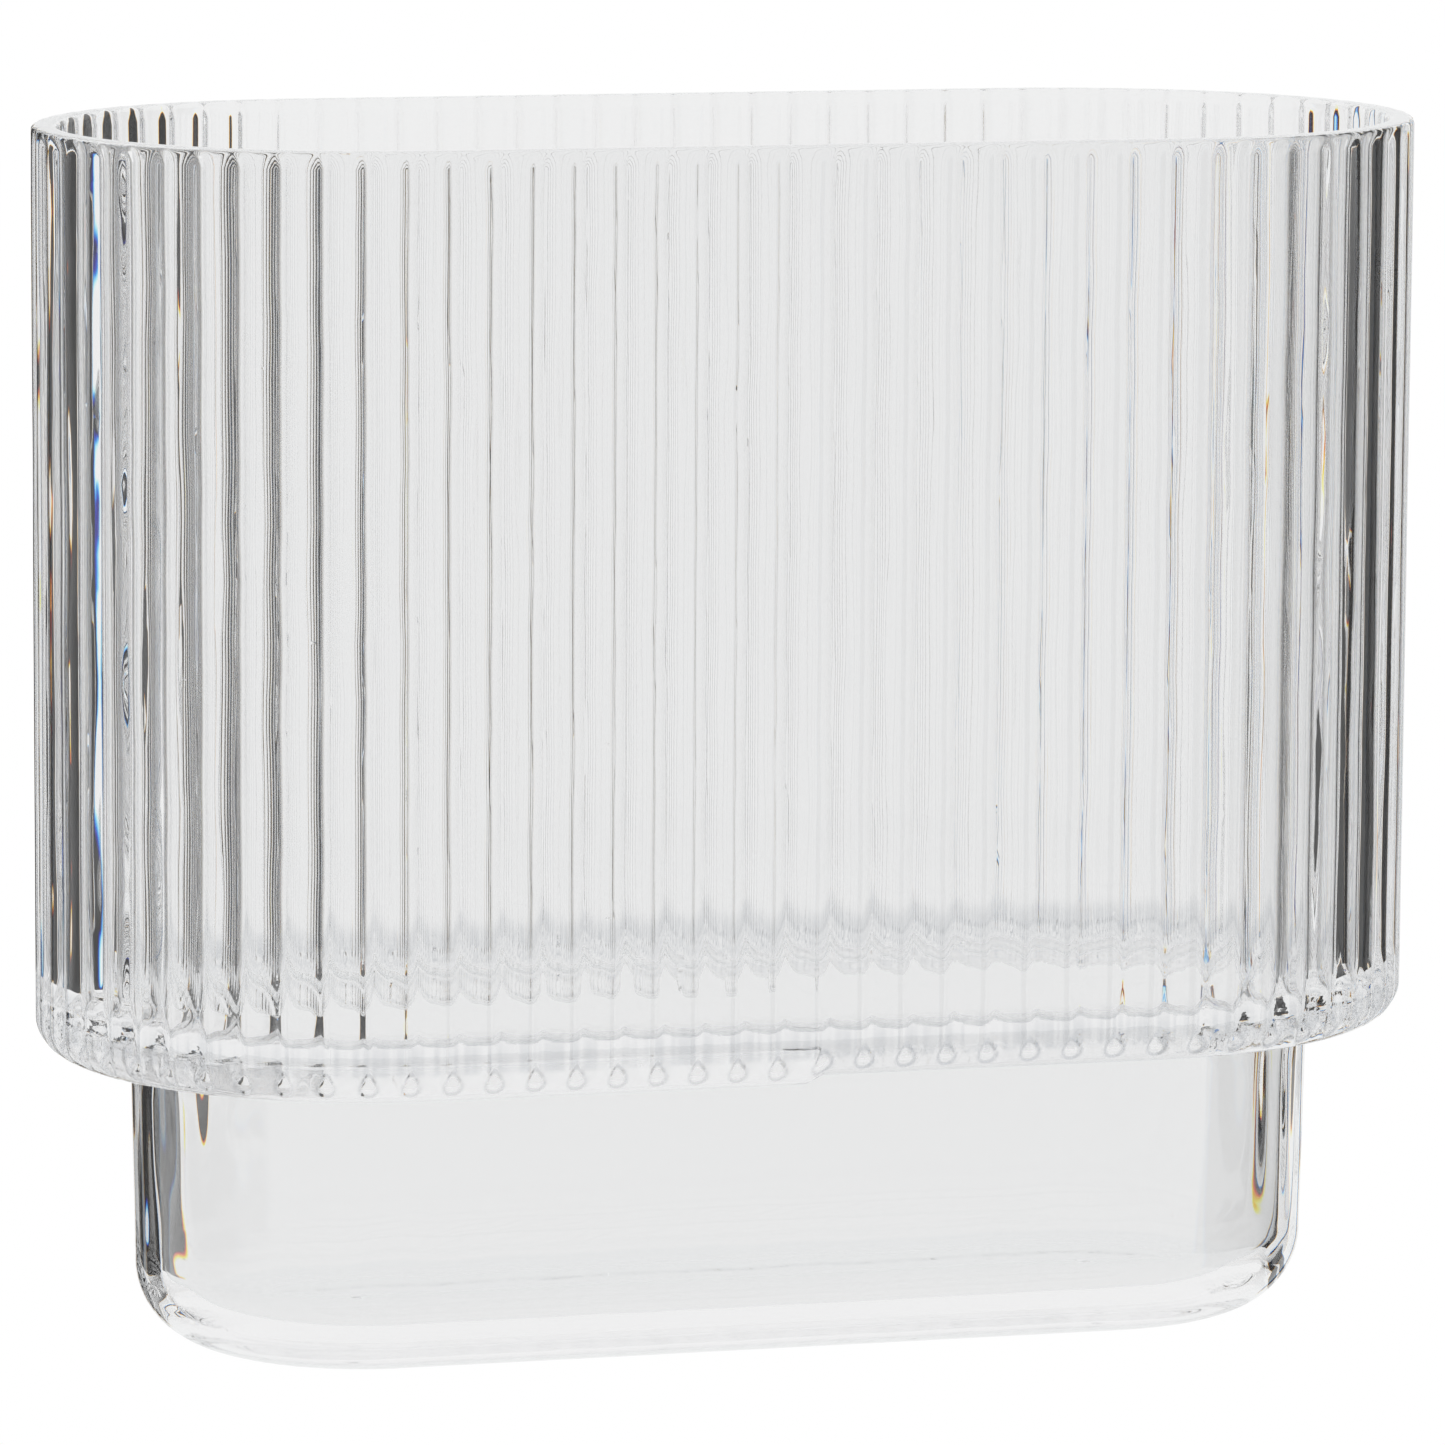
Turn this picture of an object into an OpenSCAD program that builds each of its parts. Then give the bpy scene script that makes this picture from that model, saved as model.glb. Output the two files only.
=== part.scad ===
/* [Body] */
// Length over the ribs, end to end
body_len = 230; // [220:1:240]
// Depth over the ribs, front to back
body_dep = 107; // [102:0.5:112]
// Height from the resting face to the top of the lip
body_h = 200; // [170:1:230]
// Thickness of the glass, from the crest of a rib to the smooth inner wall
wall_t = 4.4; // [4:0.1:6]

/* [Ribs] */
// Ribs along each straight side
ribs_side = 18; // [14:1:22]
// Ribs around each round end
ribs_end = 24; // [20:1:28]
// Depth of the valley between two ribs
rib_depth = 0.9; // [0.8:0.1:2]

/* [Lip] */
// Height of the zone that forms the lip
lip_h = 8; // [5:1:14]
// Radius of the fire-polished edges of the lip
lip_r = 1; // [0.6:0.1:1.6]

/* [Shoulder] */
// Height of the underside of the step above the resting face
step_z = 48.5; // [44:0.5:60]
// Width of the step, all the way round
step_w = 15.5; // [12:0.5:18]
// Radius of the rounded shoulder, where the ribs run out
shoulder_r = 6; // [5:0.5:8]
// Height of the zone that forms the shoulder
shoulder_h = 14.5; // [13.5:0.5:20]
// Radius inside the wall, where it turns onto the step
step_fillet_r = 6; // [3:0.5:8]
// Radius inside the step, where it turns down into the foot
step_round_r = 4; // [2:0.5:4]

/* [Foot] */
// How far each side of the foot leans in, from the step down to the heel
foot_draft = 0.6; // [0.2:0.1:1.5]
// Radius of the heel around the foot
heel_r = 13.5; // [10:0.5:14]
// Radius inside the foot, where the wall turns into the floor
floor_fillet_r = 8; // [4:0.5:9]
// Thickness of the glass in the floor
floor_t = 6.5; // [5:0.5:8]
// Height of the shallow hollow under the floor
push_up = 0.8; // [0.4:0.1:1.2]
// Width of the flat ring that the vase rests on
ring_w = 6; // [4:0.5:10]

/* [Hidden] */
$fn = 96;
end_r = body_dep / 2;                    // outer radius of the round ends
half_side = (body_len - body_dep) / 2;   // half the length of a straight side
side_pitch = 2 * half_side / ribs_side;  // rib spacing on a straight side
end_pitch = 180 / ribs_end;              // rib spacing on a round end, in degrees
rib_r = (pow(side_pitch / 2, 2) + pow(rib_depth, 2)) / (2 * rib_depth);
core_inset = 2 * rib_depth;              // the solid behind the ribs starts below the valleys
inner_r = end_r - wall_t;                // radius of the smooth inner wall
foot_r = end_r - step_w;                 // outer radius of the foot under the step
foot_in_r = foot_r - wall_t;             // inner radius of the foot under the step
heel_top_r = foot_r - foot_draft;        // outer radius of the foot at the top of the heel
heel_h = floor_t + floor_fillet_r;       // height of the zone that forms the floor
ring_r = heel_top_r - heel_r;            // outer radius of the flat resting ring
push_r = ring_r - ring_w;                // outer radius of the hollow under the floor
push_arc_r = (pow(push_r, 2) + pow(push_up, 2)) / (2 * push_up);
shoulder_top = step_z + shoulder_h;
shoulder_out = end_r + 0.15;             // the shoulder's round starts just outside the crests
lip_z = body_h - lip_h;
lip_out = end_r + 0.05;                  // the lip's edge starts just outside the crests
glass = [0.90, 0.92, 0.92, 0.45];        // clear glass, a trace of grey

// Carries an upright section around the oval. The section's x is the distance
// from the centre line of the oval and its y is the height.
module around_oval() {
    for (side = [-1, 1]) {
        translate([side * half_side, 0, 0])
            rotate([0, 0, side * -90])
                rotate_extrude(angle = 180) children();
        rotate([90, 0, side * 90])
            linear_extrude(2 * half_side, center = true) children();
    }
}

// Oval plan: two half circles joined by straight sides, drawn inset from the crests
module oval(inset = 0) {
    for (side = [-1, 1])
        translate([side * half_side, 0]) circle(end_r - inset);
    square([2 * half_side, 2 * (end_r - inset)], center = true);
}

// Plan of the ribbed outside: a row of round-backed ribs that meet in sharp valleys
module ribbed_oval() {
    oval(core_inset);
    for (side = [-1, 1]) {
        for (i = [-ribs_side / 2 : ribs_side / 2])
            translate([i * side_pitch, side * (end_r - rib_r)]) circle(rib_r);
        for (i = [1 : ribs_end - 1])
            translate([side * half_side, 0])
                rotate(90 - side * i * end_pitch)
                    translate([end_r - rib_r, 0]) circle(rib_r);
    }
}

// Ribbed block between two heights, the blank that the lip and the shoulder are cut from
module ribbed_block(z0, z1) {
    translate([0, 0, z0]) linear_extrude(z1 - z0) ribbed_oval();
}

// Section of the lip: a flat top with both edges rounded
module lip_section() {
    translate([inner_r, lip_z]) square([lip_out - inner_r, lip_h - lip_r]);
    translate([inner_r + lip_r, lip_z])
        square([lip_out - inner_r - 2 * lip_r, lip_h]);
    for (x = [inner_r + lip_r, lip_out - lip_r])
        translate([x, body_h - lip_r]) circle(lip_r);
}

// Section of the shoulder: the wall turns in over a rounded edge, runs in as a flat
// step and turns down into the foot
module shoulder_section() {
    difference() {
        union() {
            translate([foot_in_r, step_z])
                square([shoulder_out - shoulder_r - foot_in_r, shoulder_h]);
            translate([shoulder_out - shoulder_r, step_z + shoulder_r])
                square([shoulder_r, shoulder_h - shoulder_r]);
            translate([shoulder_out - shoulder_r, step_z + shoulder_r])
                circle(shoulder_r);
        }
        difference() {
            translate([foot_in_r, step_z + wall_t])
                square([inner_r - foot_in_r, shoulder_h]);
            difference() {
                translate([inner_r - step_fillet_r, step_z + wall_t])
                    square([step_fillet_r, step_fillet_r]);
                translate([inner_r - step_fillet_r, step_z + wall_t + step_fillet_r])
                    circle(step_fillet_r);
            }
        }
        difference() {
            translate([foot_in_r, step_z + wall_t - step_round_r])
                square([step_round_r, step_round_r]);
            translate([foot_in_r + step_round_r, step_z + wall_t - step_round_r])
                circle(step_round_r);
        }
    }
}

// Section of the foot's smooth wall, which leans in towards the heel
module foot_section() {
    polygon([
        [foot_in_r, step_z],
        [foot_r, step_z],
        [heel_top_r, heel_h],
        [heel_top_r - wall_t, heel_h]
    ]);
}

// Section of the floor: a round heel outside, a fillet inside and a shallow hollow below
module floor_section() {
    difference() {
        union() {
            square([ring_r, heel_h]);
            translate([0, heel_r]) square([heel_top_r, heel_h - heel_r]);
            intersection() {
                translate([ring_r, heel_r]) circle(heel_r);
                square([heel_top_r, heel_h]);
            }
        }
        translate([0, floor_t])
            square([heel_top_r - wall_t - floor_fillet_r, body_h]);
        translate([heel_top_r - wall_t - floor_fillet_r, floor_t + floor_fillet_r])
            circle(floor_fillet_r);
        intersection() {
            translate([0, push_up - push_arc_r]) circle(push_arc_r);
            square([push_r, push_up]);
        }
    }
}

// Top of the wall: the ribs run up to a flat lip with fire-polished edges
module rim_lip() {
    color(glass) intersection() {
        ribbed_block(lip_z, body_h);
        around_oval() lip_section();
    }
}

// Main wall: ribbed outside, smooth inside
module fluted_wall() {
    color(glass) translate([0, 0, shoulder_top])
        linear_extrude(lip_z - shoulder_top) difference() {
            ribbed_oval();
            oval(wall_t);
        }
}

// Step between the wall and the foot: each rib runs out over the rounded shoulder
module step_ledge() {
    color(glass) intersection() {
        ribbed_block(step_z, shoulder_top);
        around_oval() shoulder_section();
    }
}

// Smooth wall of the foot, between the step and the heel
module foot_wall() {
    color(glass) around_oval() foot_section();
}

// Floor of the foot with its heel and its resting ring
module foot_floor() {
    color(glass) around_oval() floor_section();
}

rim_lip();
fluted_wall();
step_ledge();
foot_wall();
foot_floor();
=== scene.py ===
"""Looks of an oval vase in clear ribbed glass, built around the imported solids.

The glass is one moulding. It is drawn here as one skin, worked out as a single grid, and
cut level into the five zones that the solids have, so that every zone is a closed piece and
the light still goes through them as through one glass.

The grid has two parameters. One goes around the oval, counted in ribs: it gives the point
on the middle line of the oval and the direction outwards. The other goes along the upright
section of the wall: it gives the distance from the middle line and the height.
"""

import bpy
import numpy as np
from mathutils import Matrix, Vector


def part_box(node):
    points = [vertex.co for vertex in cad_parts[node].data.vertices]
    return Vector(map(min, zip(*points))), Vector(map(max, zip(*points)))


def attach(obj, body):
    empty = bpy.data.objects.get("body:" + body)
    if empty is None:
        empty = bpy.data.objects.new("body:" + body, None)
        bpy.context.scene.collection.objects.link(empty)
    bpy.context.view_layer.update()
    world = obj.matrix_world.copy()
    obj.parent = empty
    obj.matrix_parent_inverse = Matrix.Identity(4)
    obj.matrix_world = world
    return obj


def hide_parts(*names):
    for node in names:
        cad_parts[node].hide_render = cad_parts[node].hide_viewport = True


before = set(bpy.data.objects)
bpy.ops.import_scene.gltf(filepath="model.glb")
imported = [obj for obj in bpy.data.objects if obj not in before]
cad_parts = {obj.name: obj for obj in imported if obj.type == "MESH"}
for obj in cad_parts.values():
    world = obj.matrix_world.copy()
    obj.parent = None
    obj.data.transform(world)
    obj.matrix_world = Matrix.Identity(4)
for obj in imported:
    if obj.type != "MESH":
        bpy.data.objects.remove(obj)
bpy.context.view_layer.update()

MM = 0.001
TAU = 2 * np.pi


def solid_box(node):
    """Lowest and highest corner of a solid, in millimetres."""
    return [np.array(corner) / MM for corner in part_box(node)]


# ---- sizes in millimetres: the solids give the zones, the rest is the section of the wall
lip_low, lip_high = solid_box("rim_lip")
step_low, step_high = solid_box("step_ledge")
foot_low, foot_high = solid_box("foot_wall")
TOP = lip_high[2]
LIP_Z = lip_low[2]
SHOULDER_TOP = step_high[2]
STEP_Z = step_low[2]
HEEL_TOP = foot_low[2]
END_R = lip_high[1]
HALF_SIDE = lip_high[0] - END_R
FOOT_R = foot_high[1]

WALL = 4.4
INNER_R = END_R - WALL
RIBS_SIDE, RIBS_END = 18, 24
RIBS = 2 * (RIBS_SIDE + RIBS_END)
SIDE_PITCH = 2 * HALF_SIDE / RIBS_SIDE
END_PITCH = np.pi / RIBS_END
# Ribs on the side, the right end and the left end: steepest slope in degrees, where a rib's
# back turns into the valley, and half width of the hollow at the bottom of the valley.
RIB_SHAPES = np.array([[34.0, 0.95], [38.0, 1.0], [40.0, 0.7]])
BACK_POWER = 2.7             # power of the curve of a rib's back
BACK_EDGE = 0.35             # half width of the evenly spaced back, in ribs
BACK_COLUMNS, VALLEY_COLUMNS = 11, 9
LIP_EDGE = 1.0
RIM_FADE = 3.0               # the ribs get shallower over this height below the lip
RIM_LOSS = 0.8               # share of their depth that they lose there
RIM_WIDER = 0.3              # and how much wider their hollows get
SHOULDER_RIB = 0.15          # share of a rib's depth that goes on over the round shoulder
RUN_OUT = (0.01, 0.14)       # the rest runs out there: start and width, as shares of its radius
SHOULDER_R = 6.0
STEP_FILLET = 10.0
STEP_ROUND = 4.0
MOULD_STEP = 1.4             # the right half of the mould sits this much higher
MOULD_BLEND = 4.0            # from one half to the other, and from the shoulder up
BEAD_DOWN = 2.9              # middle of the bead, along the round shoulder from its top
BEAD_HALF = (1.55, 2.2)      # half width and half height of a bead
BEAD_DEPTH = 0.45
BEAD_NARROWING = 0.5         # share of its width that a bead loses towards its upper end
BEAD_END = (1.2, 0.5)        # where its side ends and how wide that is, in half widths
BEAD_RING = (0.95, 0.35)     # middle and half width of the painted shade ring on its edge, in half widths
LEFT_RINGS = 0.6             # how strong the painted shade on the left half's bead edges is, as a share of the right's
UNDER_FILLET = 1.0
CUT_BELOW_STEP = 2.5
FOOT_DRAFT = 0.6
HEEL_R = 13.5
FLOOR_T = 6.5
FLOOR_FILLET = 8.0
RING_W = 6.0
PUSH_UP = 0.8

HEEL_TOP_R = FOOT_R - FOOT_DRAFT
FOOT_IN_R = FOOT_R - WALL
RING_R = HEEL_TOP_R - HEEL_R
CUT_Z = STEP_Z - CUT_BELOW_STEP
INNER_STEP_Z = STEP_Z + WALL

# Slow waves in the glass: seed, height, lengths upwards in mm, number of waves around the
# oval. Heights are in mm, and in ribs for the sway.
SWAY = (3, 0.010, (12, 60), (5, 40))
OUTER_WAVES = (7, 0.03, (30, 90), (2, 30))
INNER_WAVES = (11, 0.03, (30, 90), (2, 40))
INNER_END_WAVES = (31, 0.06, (100, 380), (14, 44))
OUTER_FOOT_WAVES = (21, 0.07, (150, 600), (24, 60))
INNER_FOOT_WAVES = (25, 0.07, (150, 600), (24, 60))
WAVES_SUMMED = 14
WAVE_LIMIT = 0.2             # no wave stands out further than this
CALM_MIDDLE = 12             # nothing waves within this distance of the middle line
WAVE_RISE = 30               # height over which waves come in, above the shoulder and the heel
END_WAVES = (8, 16)          # and along the oval: how far past the side, and over what length
HEEL_WAVES = 6               # the foot's waves start this far under the top of the heel
STEP_CALM = 4                # and fade out over this height under the step
SIDE_WAVES = 0.3             # their share on the straight sides

# Drift of the ribs: place in ribs from the middle of the front, and lag in ribs.
DRIFT = np.array([[-9.0, 0.03], [-5.0, 0.10], [-0.4, 0.25], [0.4, 0.15], [5.0, 0.11],
                  [8.5, -0.05], [13.0, -0.12], [21.0, -0.10], [33.0, -0.08], [51.0, -0.08],
                  [63.0, -0.06], [75.0, 0.03]])


def smooth(t):
    """Soft step from 0 to 1: 3 t^2 - 2 t^3, with t held between 0 and 1."""
    t = np.clip(t, 0, 1)
    return t * t * (3 - 2 * t)


# ---- the way around the oval
def columns():
    """Places around the oval, in ribs: evenly spaced on a rib's back, closer in the valley."""
    back = np.linspace(-BACK_EDGE, BACK_EDGE, BACK_COLUMNS, endpoint=False)
    valley = np.linspace(BACK_EDGE, 1 - BACK_EDGE, VALLEY_COLUMNS, endpoint=False)
    one = np.concatenate([back, valley])
    return (np.arange(RIBS)[:, None] + one[None, :]).ravel()


def around(q):
    """Point on the middle line and direction outwards, for a place q counted in ribs.

    Starting at the middle of the front, q runs along the straight side, around the right
    end, along the back and around the left end. Both the point's x and the direction's
    angle are straight lines between the four corners of that path.
    """
    side, end = RIBS_SIDE / 2, RIBS_END
    marks = np.cumsum([0, side, end, 2 * side, end, side])
    place = np.mod(q, RIBS)
    x = np.interp(place, marks, [0, HALF_SIDE, HALF_SIDE, -HALF_SIDE, -HALF_SIDE, 0])
    angle = np.interp(place, marks, np.array([-1, -1, 1, 1, 3, 3]) * np.pi / 2)
    on_end = ((place > side) & (place < side + end)) | (
        (place > 3 * side + end) & (place < 3 * side + 2 * end))
    return x, np.cos(angle), np.sin(angle), on_end


def rib_pitch(q):
    """Distance from one rib to the next, in millimetres."""
    return np.where(around(q)[3], END_R * END_PITCH, SIDE_PITCH)


def drift(q):
    """How far the ribs wander from their even spacing, in ribs: the pressed halves differ."""
    place = np.mod(q + RIBS_SIDE / 2, RIBS) - RIBS_SIDE / 2
    return np.interp(place, DRIFT[:, 0], DRIFT[:, 1])


def rib_shape(q):
    """Slope in radians and half width of the hollow, eased from the sides to each end."""
    place = np.mod(q, RIBS)
    ease = 2
    end = [ease, RIBS_END - 2 * ease, ease]
    marks = np.cumsum([0, RIBS_SIDE / 2, *end, RIBS_SIDE, *end])
    slope, width = [np.interp(place, marks, RIB_SHAPES[[0, 0, 1, 1, 0, 0, 2, 2, 0], i])
                    for i in (0, 1)]
    return np.radians(slope), width


def valley_depth(rib, q, wider):
    """How far the ribbed surface lies inside the crests, at rib counted along the ribs.

    Across one rib the section is a power curve for the rib's back, flatter in the middle
    than an arc, and an opposite arc for the hollow of the valley. They meet where the slope
    is steepest. The hollow's half width is given, and its radius is that over the sine of
    the slope.
    """
    pitch = rib_pitch(q)
    slope, hollow = rib_shape(q)
    hollow = hollow + wider
    off = np.abs(rib - np.round(rib)) * pitch
    edge = pitch / 2 - hollow
    hollow_r = hollow / np.sin(slope)
    rise = edge * np.tan(slope) / BACK_POWER
    back = rise * (np.minimum(off, edge) / edge) ** BACK_POWER
    rest = np.clip(pitch / 2 - np.maximum(off, edge), 0, hollow)
    full = rise + hollow_r * (1 - np.cos(slope))
    low = full - hollow_r + np.sqrt(hollow_r**2 - rest**2)
    return np.where(off < edge, back, low)


def bead(rib, q, inward):
    """Depth of the drop-shaped dimple at the end of each valley, on the round shoulder.

    The drop is an ellipse that narrows towards its upper end. Its edge is a soft step. The
    second value is a ring of painted shade that follows that edge and darkens the glass.
    """
    pitch = rib_pitch(q)
    across = (0.5 - np.abs(rib - np.round(rib))) * pitch
    along = SHOULDER_R * np.arccos(1 - inward) - BEAD_DOWN
    narrow = 1 - BEAD_NARROWING * np.clip(-along / BEAD_HALF[1], 0, 1)
    off = np.hypot(across / (BEAD_HALF[0] * narrow), along / BEAD_HALF[1])
    depth = BEAD_DEPTH * smooth((BEAD_END[0] - off) / BEAD_END[1])
    return depth, smooth(1 - np.abs(off - BEAD_RING[0]) / BEAD_RING[1])


# ---- the upright section of the wall
def line(start, end, count):
    """Points on a straight line, the first left out."""
    t = np.arange(1, count + 1)[:, None] / count
    return np.array(start) + t * (np.array(end) - np.array(start))


def arc(centre, radius, first, last, count):
    """Points on an arc between two angles in degrees, the first left out."""
    t = np.radians(first + np.arange(1, count + 1) / count * (last - first))
    return np.array(centre) + radius * np.stack([np.cos(t), np.sin(t)], 1)


def outer_section():
    """Distance and height along the outside, from the lowest ring up to the lip's top."""
    push_r = RING_R - RING_W
    dome_r = (push_r**2 + PUSH_UP**2) / (2 * PUSH_UP)
    dome_a = np.degrees(np.arcsin(push_r / dome_r))
    return {
        "foot_floor": [
            np.array([[0, PUSH_UP]]),
            arc((0, PUSH_UP - dome_r), dome_r, 90, 90 - dome_a, 8),
            line((push_r, 0), (RING_R, 0), 3),
            arc((RING_R, HEEL_R), HEEL_R, -90, 0, 22),
            line((HEEL_TOP_R, HEEL_R), (HEEL_TOP_R, HEEL_TOP), 1),
        ],
        "foot_wall": [line((HEEL_TOP_R, HEEL_TOP), (FOOT_R, CUT_Z), 9)],
        "step_ledge": [
            line((FOOT_R, CUT_Z), (FOOT_R, STEP_Z - UNDER_FILLET), 1),
            arc((FOOT_R + UNDER_FILLET, STEP_Z - UNDER_FILLET), UNDER_FILLET, 180, 90, 4),
            line((FOOT_R + UNDER_FILLET, STEP_Z), (END_R - SHOULDER_R, STEP_Z), 3),
            arc((END_R - SHOULDER_R, STEP_Z + SHOULDER_R), SHOULDER_R, -90, 0, 25),
            line((END_R, STEP_Z + SHOULDER_R), (END_R, SHOULDER_TOP), 2),
        ],
        "fluted_wall": [line((END_R, SHOULDER_TOP), (END_R, LIP_Z), 28)],
        "rim_lip": [
            line((END_R, LIP_Z), (END_R, TOP - LIP_EDGE), 4),
            arc((END_R - LIP_EDGE, TOP - LIP_EDGE), LIP_EDGE, 0, 90, 7),
            line((END_R - LIP_EDGE, TOP), (END_R - WALL / 2, TOP), 2),
        ],
    }


def inner_section():
    """Distance and height along the inside, from the lip's top down to the floor's centre."""
    floor_r = HEEL_TOP_R - WALL - FLOOR_FILLET
    return {
        "rim_lip": [
            line((END_R - WALL / 2, TOP), (INNER_R + LIP_EDGE, TOP), 2),
            arc((INNER_R + LIP_EDGE, TOP - LIP_EDGE), LIP_EDGE, 90, 180, 7),
            line((INNER_R, TOP - LIP_EDGE), (INNER_R, LIP_Z), 4),
        ],
        "fluted_wall": [line((INNER_R, LIP_Z), (INNER_R, SHOULDER_TOP), 28)],
        "step_ledge": [
            line((INNER_R, SHOULDER_TOP), (INNER_R, INNER_STEP_Z + STEP_FILLET), 1),
            arc((INNER_R - STEP_FILLET, INNER_STEP_Z + STEP_FILLET), STEP_FILLET, 0, -90, 11),
            line((INNER_R - STEP_FILLET, INNER_STEP_Z),
                 (FOOT_IN_R + STEP_ROUND, INNER_STEP_Z), 1),
            arc((FOOT_IN_R + STEP_ROUND, INNER_STEP_Z - STEP_ROUND), STEP_ROUND, 90, 180, 7),
            line((FOOT_IN_R, INNER_STEP_Z - STEP_ROUND), (FOOT_IN_R, CUT_Z), 1),
        ],
        "foot_wall": [line((FOOT_IN_R, CUT_Z), (HEEL_TOP_R - WALL, HEEL_TOP), 9)],
        "foot_floor": [
            arc((floor_r, FLOOR_T + FLOOR_FILLET), FLOOR_FILLET, 0, -90, 16),
            line((floor_r, FLOOR_T), (0, FLOOR_T), 8),
        ],
    }


def section_rows():
    """The whole section as one chain of rows, with the range of rows that each zone takes.

    The chain goes from the centre under the foot up the outside, over the lip and down the
    inside to the centre of the floor. Two zones share the row where they meet.
    """
    chain, spans, used = [], {}, 0
    for skin, section in (("out", outer_section()), ("in", inner_section())):
        for node, lengths in section.items():
            rows = np.concatenate(lengths)
            first = max(used - 1, 0)
            used += len(rows)
            chain.append(rows)
            spans[node, skin] = (first, used - 1)
    return np.concatenate(chain), spans


def ripple(q, z, seed, height, tall, turns):
    """Slow waves in the glass: a sum of slanted sine waves with seeded slants and phases.

    Each is sin(2 pi (n q / ribs + z / length) + phase). The sum is divided by the root of
    their number, so its spread doesn't depend on how many there are.
    """
    rng = np.random.default_rng(seed)
    total = np.zeros(np.broadcast(q, z).shape)
    for _ in range(WAVES_SUMMED):
        n = rng.integers(turns[0], turns[1])
        length = rng.uniform(*tall) * rng.choice([-1, 1])
        total = total + np.sin(TAU * (n * q / RIBS + z / length) + rng.uniform(0, TAU))
    return height * total / np.sqrt(WAVES_SUMMED)


def slow_waves(q, z, outside, rim):
    """How far the slow waves push each point of the skin inwards, in millimetres.

    The wall has one set of waves outside and one inside. The round ends have longer ones
    inside, above the shoulder and below the rim. The foot has its own, strongest at the
    round ends, that rise from the heel and fade out under the step.
    """
    x, nx, _, _ = around(q)
    round_end = smooth((np.abs(x + nx * END_R) - HALF_SIDE - END_WAVES[0]) / END_WAVES[1])
    waves = np.where(outside, ripple(q, z, *OUTER_WAVES), ripple(q, z, *INNER_WAVES))
    above = smooth((z - SHOULDER_TOP) / WAVE_RISE)
    waves = waves + np.where(
        ~outside, above * round_end * (1 - rim) * ripple(q, z, *INNER_END_WAVES), 0)
    foot_top = np.where(outside, CUT_Z, INNER_STEP_Z + 1)
    foot = smooth((z - HEEL_TOP + HEEL_WAVES) / WAVE_RISE) * smooth((foot_top - z) / STEP_CALM)
    foot = foot * (SIDE_WAVES + (1 - SIDE_WAVES) * round_end)
    return waves + foot * np.where(outside, ripple(q, z, *OUTER_FOOT_WAVES),
                                   ripple(q, z, *INNER_FOOT_WAVES))


def mould_lift(z, body):
    """Share of the mould's step at each row: none on the wall, all of it on the shoulder."""
    from_wall = np.clip((SHOULDER_TOP - z) / MOULD_BLEND, 0, 1)
    from_foot = np.clip((z - CUT_Z) / (CUT_BELOW_STEP - UNDER_FILLET), 0, 1)
    return np.where(body & (z < SHOULDER_TOP), from_wall, 0) * from_foot


def whole_skin():
    """Every point of the skin in millimetres, rows along the section by columns around.

    A point lies on the line outwards from the middle line of the oval, at the section's
    distance less the depth of the ribs, of the beads and of the slow waves. Also gives the
    painted shade ring on the edges of the beads, and the rows that each zone takes.
    """
    rows, spans = section_rows()
    r, z = rows[:, :1], rows[:, 1:]
    rib = columns()[None, :]
    q = rib - drift(rib - drift(rib))
    x, nx, ny, _ = around(q)
    right_half = smooth((x + nx * END_R) / MOULD_BLEND)
    row = np.arange(len(rows))[:, None]
    outside = row <= spans["rim_lip", "out"][1]
    body = outside & (row > spans["step_ledge", "out"][0])
    upper = z > STEP_Z + SHOULDER_R + 1
    shoulder = body & ~upper

    inward = np.clip((END_R - r) / SHOULDER_R, 0, 1)
    run_out = 1 - smooth((inward - RUN_OUT[0]) / RUN_OUT[1])
    rim = smooth((z - (TOP - RIM_FADE)) / RIM_FADE)
    lip = np.clip((r - (END_R - WALL / 2)) / (WALL / 2 - LIP_EDGE), 0, 1)
    fade = np.where(upper, (1 - RIM_LOSS * rim) * lip,
                    SHOULDER_RIB * (1 - inward) + (1 - SHOULDER_RIB) * run_out)
    fade = np.where(body, fade, 0)
    rib = rib + ripple(q, z, *SWAY) * (fade > 0)
    depth = fade * valley_depth(rib, q, np.where(upper, RIM_WIDER * rim, 0))
    # edge is the painted shade ring along each bead's edge, weaker on the left half
    drop, edge = bead(rib, q, inward)
    depth = depth + np.where(shoulder, drop, 0)
    edge = edge * (LEFT_RINGS + (1 - LEFT_RINGS) * right_half)
    edge = np.where(shoulder, edge, 0)

    waves = np.maximum(slow_waves(q, z, outside, rim), -WAVE_LIMIT) * (r > CALM_MIDDLE)
    reach = np.where(r > 0, r - depth - waves, 0)    # the first and last row meet in a line
    reach = np.minimum(reach, END_R)
    height = z + MOULD_STEP * mould_lift(z, body) * right_half
    return np.stack([x + reach * nx, reach * ny, height], -1), edge, spans


def outward(points):
    """Normals of the skin: the cross product of its slopes along and around.

    Each slope weighs the two neighbouring steps by their lengths, so it is exact on an arc
    even where the steps differ.
    """
    def slope(before, after):
        a = np.linalg.norm(before, axis=-1, keepdims=True) + 1e-12
        b = np.linalg.norm(after, axis=-1, keepdims=True) + 1e-12
        return (before * b / a + after * a / b) / (a + b)
    step = np.diff(points, axis=0)
    before = np.concatenate([step[:1], step])
    after = np.concatenate([step, step[-1:]])
    along = slope(before, after)
    ahead = np.roll(points, -1, axis=1) - points
    around_it = slope(np.roll(ahead, 1, axis=1), ahead)
    normal = np.cross(around_it, along)
    size = np.linalg.norm(normal, axis=-1, keepdims=True)
    normal = np.where(size > 1e-9, normal / np.maximum(size, 1e-12), 0)
    normal[0] = (0, 0, -1)
    normal[-1] = (0, 0, 1)
    return normal


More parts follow.
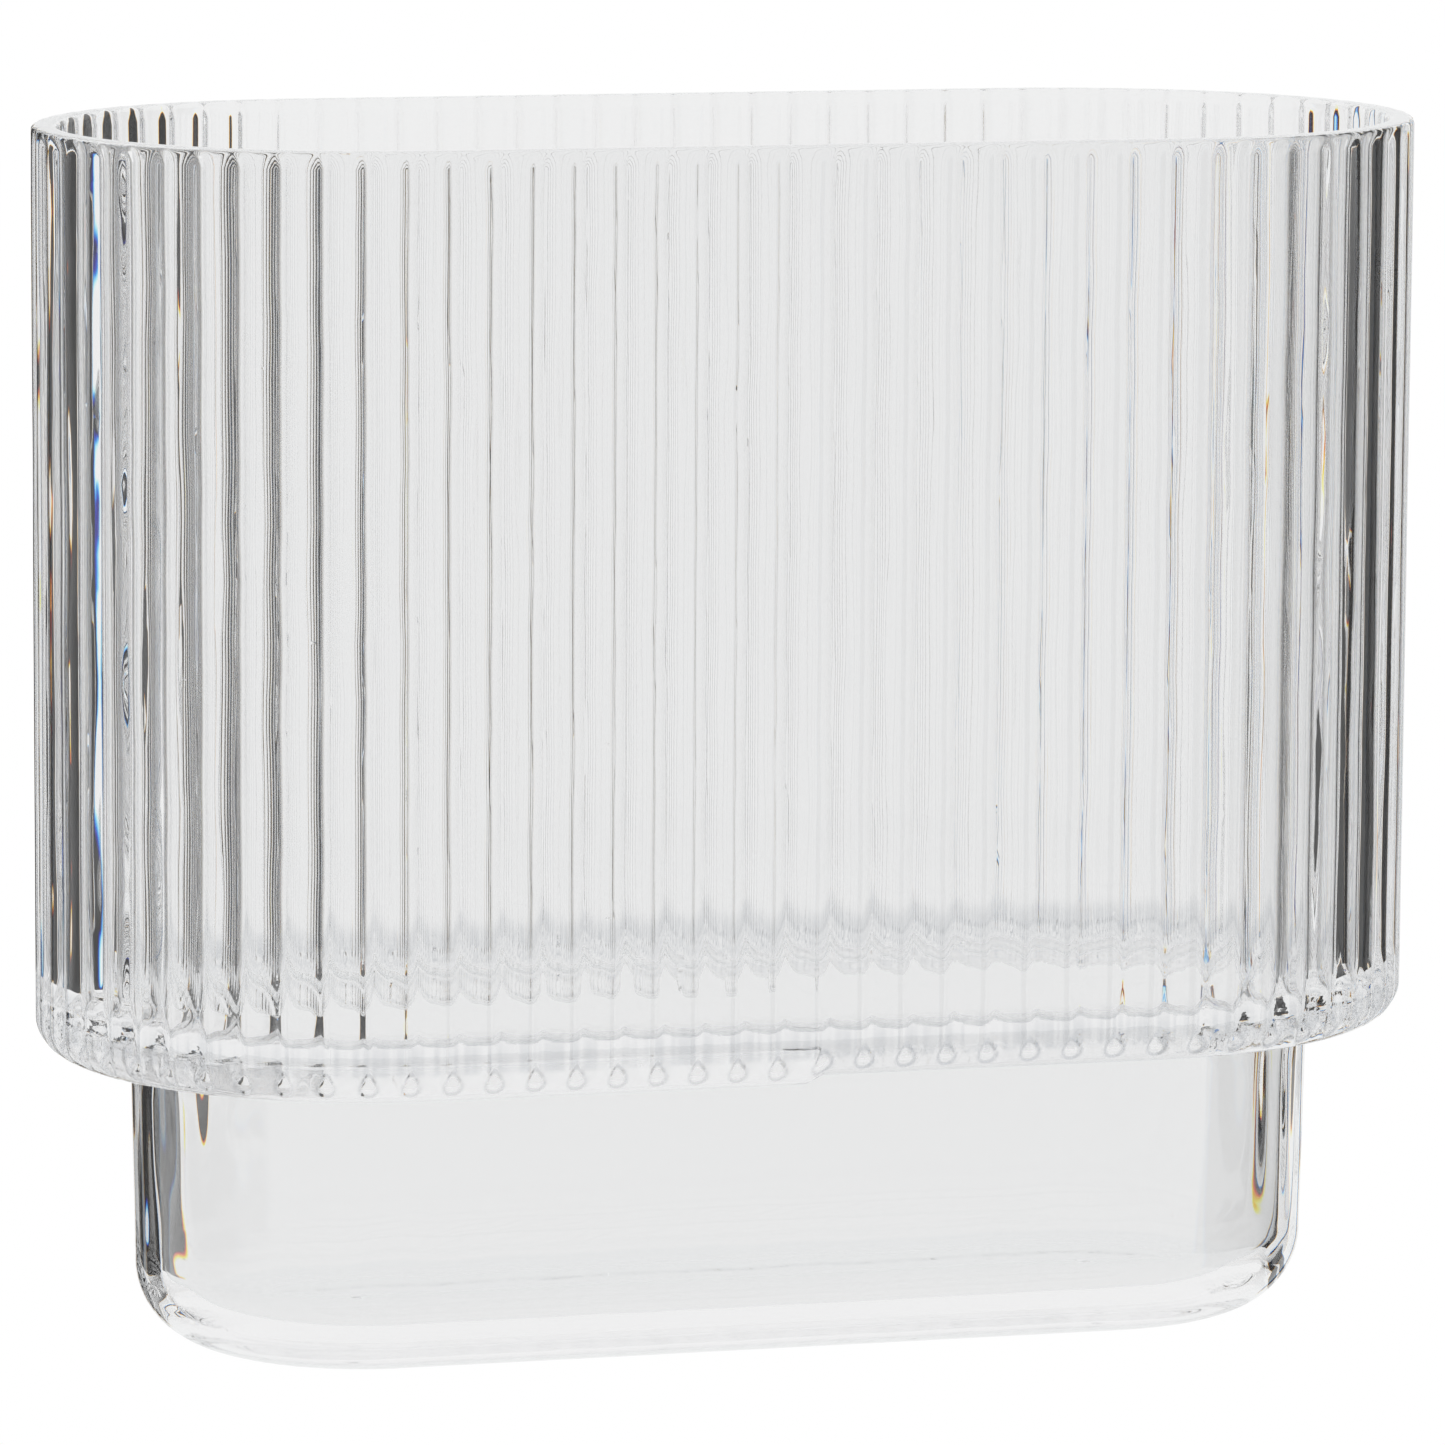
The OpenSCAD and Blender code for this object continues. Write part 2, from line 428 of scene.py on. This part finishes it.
def mesh_piece(name, points, normals, edge, bond_after, closed, materials):
    """A closed piece from rows of points: every row is joined to the next by a ring of faces.

    bond_after lists the rows after which the ring is a cut face; the other rings are skin.
    Where closed is true, the last row is joined to the first one.
    """
    count_rows, count_cols = points.shape[:2]
    index = np.arange(count_rows * count_cols).reshape(count_rows, count_cols)
    lower = index if closed else index[:-1]
    upper = np.roll(index, -1, axis=0) if closed else index[1:]
    quads = np.stack([lower, np.roll(lower, -1, 1), np.roll(upper, -1, 1), upper], -1)
    kind = np.zeros(len(lower), int)
    kind[list(bond_after)] = 1
    mesh = bpy.data.meshes.new(name)
    mesh.from_pydata(points.reshape(-1, 3) * MM, [], quads.reshape(-1, 4).tolist())
    mesh.polygons.foreach_set("material_index", np.repeat(kind, count_cols))
    mesh.polygons.foreach_set("use_smooth", np.ones(len(mesh.polygons), bool))
    mesh.normals_split_custom_set_from_vertices(normals.reshape(-1, 3).tolist())
    # the painted shade ring around the beads, carried to the material
    mesh.attributes.new("bead_edge_shade", "FLOAT", "POINT").data.foreach_set("value", edge.ravel())
    for material in materials:
        mesh.materials.append(material)
    piece = bpy.data.objects.new(name, mesh)
    bpy.context.scene.collection.objects.link(piece)
    return piece


# ---- materials
CLEAR_TINT = (0.926, 0.928, 0.929, 1)    # glass seen square on
DEEP_TINT = (0.80, 0.83, 0.845, 1)       # glass seen edge-on, a longer way through
DRAWN_SHADE_TINT = (0.60, 0.62, 0.645, 1)      # painted shade over the band of draw lines above the step
BEAD_SHADE_TINT = (0.46, 0.48, 0.51, 1)        # painted shade on the edges of the beads
DRAWN_Z = ((0.053, 0.054), (0.0565, 0.0605))    # where the band begins and ends, in metres
GLASS_IOR = 1.51


def node_tools(tree):
    """Short call for one node tree: make a node with settings, and join outputs to it."""
    def put(kind, values=None, **settings):
        node = tree.nodes.new(kind)
        for key, value in settings.items():
            setattr(node, key, value)
        for key, value in (values or {}).items():
            if isinstance(value, bpy.types.NodeSocket):
                tree.links.new(value, node.inputs[key])
            else:
                node.inputs[key].default_value = value
        return node
    return put


def empty_material(name):
    """A material with no nodes yet, and the call that puts nodes in it."""
    material = bpy.data.materials.new(name)
    material.use_nodes = True
    material.node_tree.nodes.clear()
    return material, node_tools(material.node_tree)


def soft_range(put, value, start, end, low, high):
    """Node output that goes softly from low to high while the value goes from start to end."""
    return put("ShaderNodeMapRange", {"Value": value, "From Min": start, "From Max": end,
                                      "To Min": low, "To Max": high},
               interpolation_type="SMOOTHSTEP").outputs[0]


def mixed(put, factor, first, second):
    """Node output that goes from the first colour to the second."""
    return put("ShaderNodeMix", {"Factor": factor, 6: first, 7: second},
               data_type="RGBA").outputs[2]


def drawn_glass_group():
    """Marks that moulded glass carries: draw lines above the step, slow waves and seeds.

    Gives the bumped normal and a mask of painted shade that greys the band of draw lines.
    Both follow the object's own coordinates, in metres. The lines are a noise that is drawn
    out upwards, kept to a band.
    """
    tree = bpy.data.node_groups.new("drawn_glass", "ShaderNodeTree")
    # Line Depth sets both the bump of the draw lines and the strength of the painted shade on
    # their band
    for name in ("Line Depth", "Wave Depth", "Seed Depth"):
        tree.interface.new_socket(name, in_out="INPUT", socket_type="NodeSocketFloat")
    tree.interface.new_socket("Normal", in_out="OUTPUT", socket_type="NodeSocketVector")
    tree.interface.new_socket("Drawn", in_out="OUTPUT", socket_type="NodeSocketFloat")
    put = node_tools(tree)
    given = put("NodeGroupInput").outputs
    place = put("ShaderNodeTexCoord").outputs["Object"]
    height = put("ShaderNodeSeparateXYZ", {0: place}).outputs[2]

    drawn_out = put("ShaderNodeMapping", {"Vector": place, "Scale": (1100, 1100, 9)})
    lines = put("ShaderNodeTexNoise", {"Vector": drawn_out.outputs[0], "Scale": 1.0,
                                       "Detail": 1.0, "Roughness": 0.5}).outputs["Fac"]
    begin = soft_range(put, height, *DRAWN_Z[0], 0.0, given["Line Depth"])
    end = soft_range(put, height, *DRAWN_Z[1], 1.0, 0.01)
    band = put("ShaderNodeMath", {0: begin, 1: end}, operation="MULTIPLY").outputs[0]
    hatch = put("ShaderNodeMapRange", {"Value": lines, "From Min": 0.40, "From Max": 0.60,
                                       "To Min": 0.3, "To Max": 1.4}).outputs[0]
    # painted shade: the band of draw lines, greyed more where the lines run
    drawn_shade = put("ShaderNodeMath", {0: band, 1: hatch}, operation="MULTIPLY")

    slow = put("ShaderNodeMapping", {"Vector": place, "Scale": (130, 130, 45)})
    waves = put("ShaderNodeTexNoise", {"Vector": slow.outputs[0], "Scale": 1.0,
                                       "Detail": 1.0}).outputs["Fac"]
    spots = put("ShaderNodeTexVoronoi", {"Vector": place, "Scale": 75.0})
    seeds = soft_range(put, spots.outputs["Distance"], 0.006, 0.022, 1.0, 0.0)
    lined = put("ShaderNodeBump", {"Height": lines, "Distance": 0.00006, "Strength": band})
    waved = put("ShaderNodeBump", {"Height": waves, "Distance": 0.0001,
                                   "Strength": given["Wave Depth"],
                                   "Normal": lined.outputs[0]})
    seeded = put("ShaderNodeBump", {"Height": seeds, "Distance": 0.00012,
                                    "Strength": given["Seed Depth"],
                                    "Normal": waved.outputs[0]}, invert=True)
    put("NodeGroupOutput", {"Normal": seeded.outputs[0], "Drawn": drawn_shade.outputs[0]})
    return tree


def clear_glass():
    """Clear moulded glass: greyer seen edge-on, with painted shade along the draw lines and
    around the beads.
    """
    material, put = empty_material("clear_glass")
    marks = put("ShaderNodeGroup", {"Line Depth": 0.6, "Wave Depth": 0.3, "Seed Depth": 0.5},
                node_tree=drawn_glass_group()).outputs
    facing = put("ShaderNodeLayerWeight", {"Blend": 0.5}).outputs["Facing"]
    bead_edge_shade = put("ShaderNodeAttribute", attribute_name="bead_edge_shade").outputs["Fac"]
    tint = mixed(put, soft_range(put, facing, 0.55, 1.0, 0.0, 1.0), CLEAR_TINT, DEEP_TINT)
    # painted shade: grey over the band of draw lines
    tint = mixed(put, marks["Drawn"], tint, DRAWN_SHADE_TINT)
    # painted shade: a dark ring tinted around each bead's edge
    tint = mixed(put, bead_edge_shade, tint, BEAD_SHADE_TINT)
    shader = put("ShaderNodeBsdfPrincipled", {
        "Base Color": tint, "Roughness": 0.0, "IOR": GLASS_IOR, "Transmission Weight": 1.0,
        "Normal": marks["Normal"]})
    put("ShaderNodeOutputMaterial", {"Surface": shader.outputs[0]})
    return material


def bond():
    """The cut faces between two zones of one glass: nothing is to be seen of them."""
    material, put = empty_material("bond")
    clear = put("ShaderNodeBsdfTransparent")
    put("ShaderNodeOutputMaterial", {"Surface": clear.outputs[0]})
    return material


# ---- pieces
points, bead_edge_shades, spans = whole_skin()
normals = outward(points)
finishes = [clear_glass(), bond()]


def zone_rows(node):
    """The rows of the skin that a zone takes, outside and inside."""
    return [np.arange(spans[node, skin][0], spans[node, skin][1] + 1)
            for skin in ("out", "in")]


def build(node, rows, bond_after, closed):
    """The piece that stands for one solid, made of the given rows of the skin."""
    chosen = np.concatenate(rows)
    piece = mesh_piece(node + "_glass", points[chosen], normals[chosen], bead_edge_shades[chosen],
                       bond_after, closed, finishes)
    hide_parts(node)
    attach(piece, "root")


for node in ("fluted_wall", "step_ledge", "foot_wall"):
    out, inn = zone_rows(node)
    build(node, [out, inn], [len(out) - 1, len(out) + len(inn) - 1], True)
out, inn = zone_rows("rim_lip")
build("rim_lip", [out, inn[1:]], [len(out) + len(inn) - 2], True)
out, inn = zone_rows("foot_floor")
build("foot_floor", [inn, out], [len(inn) - 1], False)

# ---- floor, light and camera
scene = bpy.context.scene

CAMERA_AT = np.array([-365.3, -1372.37, 317.41]) * MM
CAMERA_YAW, CAMERA_PITCH, CAMERA_ROLL = 0.2597, 0.1518, 0.0061     # radians
CAMERA_LENS = 216.82
RIGHT = np.array([np.cos(CAMERA_YAW), -np.sin(CAMERA_YAW), 0])     # level, to its right
AWAY = np.array([np.sin(CAMERA_YAW), np.cos(CAMERA_YAW), 0])       # level, away from it
UP = np.array([0, 0, 1])

ROOM, DARK = 0.93, 0.04      # light of the room and of the dark cards
# The dark cards in plan, each along a chain of places: millimetres to the camera's right
# and away from it. They reach below the table, because the foot's glass shows that too.
CARD_WAYS = [np.array([[-162, 238], [-352, 300]]),
             np.array([[-378, 285], [-440, 160]]),
             np.array([[240, 185], [390, 105], [400, -150]]),
             np.array([[166, 222], [195, 215]])]
CARD_LOW, CARD_HIGH = -120.0, 400.0
# Where red, green and blue begin, after the card's start and before its end.
CARD_FRINGES = ((4.5, 0.0), (2.5, 3.0), (0.0, 7.0))
CARD_RISE, CARD_FALL = 4, 10

FLOOR_HALF = 12.0            # metres
FLOOR_Z = -0.0002            # just under the resting ring
BOUNCES, GLOSSY_BOUNCES = 128, 96    # a path cut off early leaves a black mark at the step


def flat_mesh(name, corners, faces, material):
    """An object of flat faces, from its corners in metres."""
    mesh = bpy.data.meshes.new(name)
    mesh.from_pydata(corners, [], faces)
    mesh.materials.append(material)
    made = bpy.data.objects.new(name, mesh)
    scene.collection.objects.link(made)
    return made


def white_floor_material():
    """Even white seen from above; from below the floor is clear."""
    material, put = empty_material("pale_floor")
    glow = put("ShaderNodeEmission", {"Strength": 1.0})
    clear = put("ShaderNodeBsdfTransparent")
    behind = put("ShaderNodeNewGeometry").outputs["Backfacing"]
    seen = put("ShaderNodeMixShader", {0: behind, 1: glow.outputs[0], 2: clear.outputs[0]})
    put("ShaderNodeOutputMaterial", {"Surface": seen.outputs[0]})
    return material


def pale_floor():
    """Large plain floor, which the glass doesn't show."""
    h, z = FLOOR_HALF, FLOOR_Z
    floor = flat_mesh("floor", [(-h, -h, z), (h, -h, z), (h, h, z), (-h, h, z)],
                      [(0, 1, 2, 3)], white_floor_material())
    floor.visible_transmission = False
    floor.visible_glossy = False


def dark_card_material():
    """Dark in the middle and room-bright at both edges, each colour ending a little apart.

    Glass bends blue light more than red, so the dark lines that the cards draw get a warm
    edge on one side and a blue edge on the other. The two coordinates of the card's map are
    the distances in millimetres from its start and to its end.
    """
    material, put = empty_material("dark_card")
    across = put("ShaderNodeSeparateXYZ", {0: put("ShaderNodeUVMap").outputs[0]}).outputs
    channels = []
    for start, end in CARD_FRINGES:
        rise = soft_range(put, across[0], start, start + CARD_RISE, ROOM, DARK)
        fall = soft_range(put, across[1], end + CARD_FALL, end, DARK, ROOM)
        both = put("ShaderNodeMath", {0: rise, 1: fall}, operation="MAXIMUM")
        channels.append(both.outputs[0])
    colour = put("ShaderNodeCombineColor", dict(enumerate(channels)))
    glow = put("ShaderNodeEmission", {"Color": colour.outputs[0], "Strength": 1.0})
    put("ShaderNodeOutputMaterial", {"Surface": glow.outputs[0]})
    return material


def dark_cards():
    """Upright dark cards beside the vase: they draw the dark lines in the glass."""
    corners, faces, across = [], [], []
    for way in CARD_WAYS:
        reach = np.append(0, np.cumsum(np.hypot(*np.diff(way, axis=0).T)))
        for i in range(len(way) - 1):
            faces.append(list(range(len(corners), len(corners) + 4)))
            for end, z in ((i, CARD_LOW), (i + 1, CARD_LOW), (i + 1, CARD_HIGH),
                           (i, CARD_HIGH)):
                corners.append((way[end, 0] * RIGHT + way[end, 1] * AWAY + z * UP) * MM)
                across.append((reach[end], reach[-1] - reach[end]))
    cards = flat_mesh("dark_cards", corners, faces, dark_card_material())
    cards.data.uv_layers.new(name="across").uv.foreach_set("vector", np.ravel(across))
    cards.visible_camera = False


def studio_light():
    """A large even white room; the camera itself sees plain white behind the glass."""
    world = bpy.data.worlds.new("soft_studio")
    scene.world = world
    world.use_nodes = True
    world.node_tree.nodes.clear()
    put = node_tools(world.node_tree)
    seen = put("ShaderNodeLightPath").outputs["Is Camera Ray"]
    level = put("ShaderNodeMath", {0: seen, 1: ROOM}, operation="MAXIMUM")
    glow = put("ShaderNodeBackground", {"Color": (1, 1, 1, 1), "Strength": level.outputs[0]})
    put("ShaderNodeOutputWorld", {"Surface": glow.outputs[0]})


def studio_camera():
    """Camera with its own axes worked out from yaw, pitch and roll."""
    forward = AWAY * np.cos(CAMERA_PITCH) - UP * np.sin(CAMERA_PITCH)
    up = np.cross(RIGHT, forward)
    c, s = np.cos(CAMERA_ROLL), np.sin(CAMERA_ROLL)
    camera = bpy.data.objects.new("camera", bpy.data.cameras.new("camera"))
    camera.data.lens = CAMERA_LENS
    camera.data.sensor_width = 36
    camera.data.clip_start = 0.1
    camera.data.clip_end = 100
    pose = np.identity(4)
    pose[:3] = np.stack([RIGHT * c + up * s, up * c - RIGHT * s, -forward, CAMERA_AT], 1)
    camera.matrix_world = Matrix(pose.tolist())
    scene.collection.objects.link(camera)
    scene.camera = camera


pale_floor()
dark_cards()
studio_light()
studio_camera()
scene.view_settings.view_transform = "Standard"
scene.cycles.max_bounces = BOUNCES
scene.cycles.transmission_bounces = BOUNCES
scene.cycles.transparent_max_bounces = BOUNCES
scene.cycles.glossy_bounces = GLOSSY_BOUNCES
